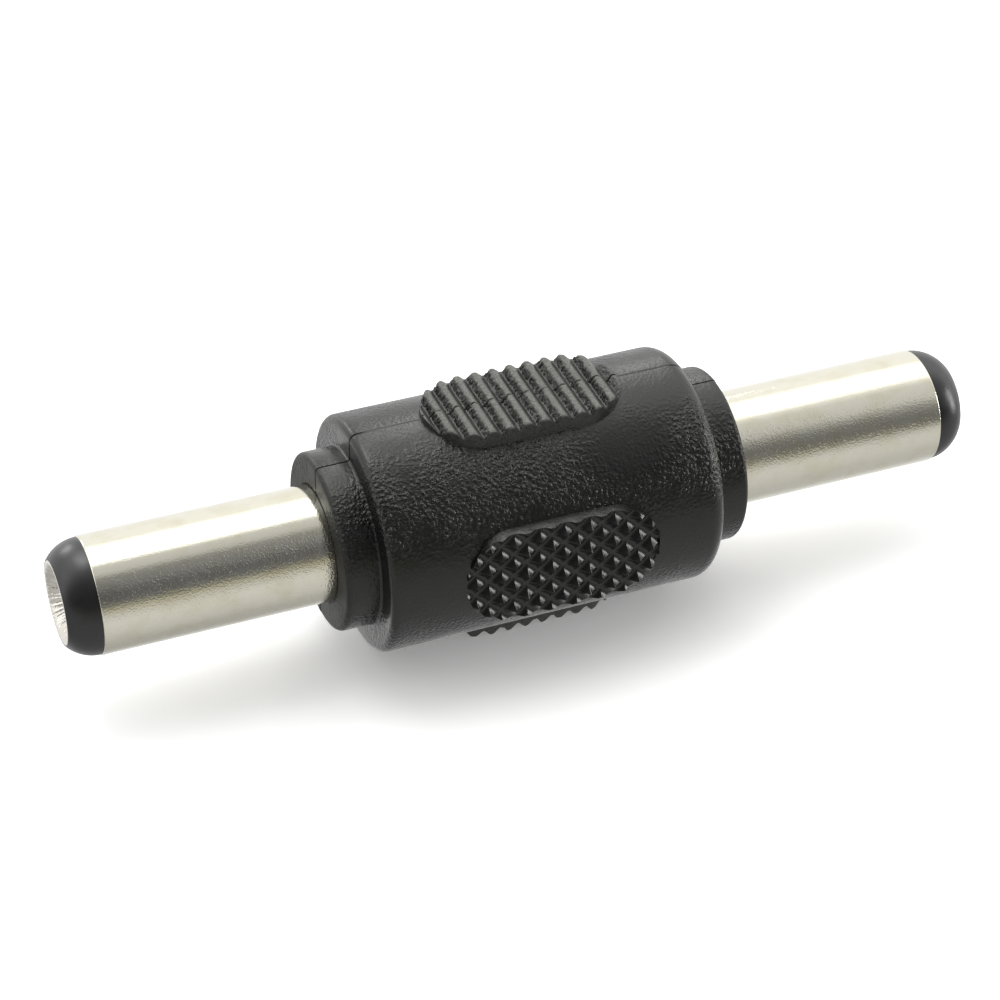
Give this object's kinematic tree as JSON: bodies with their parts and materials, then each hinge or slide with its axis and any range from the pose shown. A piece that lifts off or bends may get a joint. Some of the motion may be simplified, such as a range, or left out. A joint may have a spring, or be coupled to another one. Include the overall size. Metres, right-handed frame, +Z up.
{
  "type": "dc barrel adapter",
  "caption": "Straight coupler with a barrel power plug at each end of a short black moulded body that carries ribbed and pyramid finger grips.",
  "frame": {"origin": "middle of the adapter on the common axis of both plugs", "axes": "+X along the plugs towards the right-hand plug, +Z up through the ribbed grip, -Y through the pyramid grip that faces the viewer"},
  "size_m": [0.0444, 0.0118, 0.0118],
  "materials": {
    "body": "black soft moulded plastic, fine spark grain, semi-matt",
    "plated_sleeve": "nickel-plated, satin drawn tube",
    "nose_insulator": "black smooth plastic, satin",
    "plated_contact": "nickel-plated, bright",
    "washer": "brown phenolic sheet",
    "lug": "tinned brass strip",
    "solder": "dull tin solder",
    "link_strip": "bare copper strip"
  },
  "bodies": {
    "root": {"body": "body", "left_sleeve": "plated_sleeve", "left_tip_insulator": "nose_insulator", "left_centre_contact": "plated_contact", "left_insulating_washer": "washer", "left_centre_lug": "lug", "left_sleeve_lug": "lug", "left_centre_solder": "solder", "left_sleeve_solder": "solder", "right_sleeve": "plated_sleeve", "right_tip_insulator": "nose_insulator", "right_centre_contact": "plated_contact", "right_insulating_washer": "washer", "right_centre_lug": "lug", "right_sleeve_lug": "lug", "right_centre_solder": "solder", "right_sleeve_solder": "solder", "centre_link": "link_strip", "sleeve_link": "link_strip"}
  },
  "joints": []
}
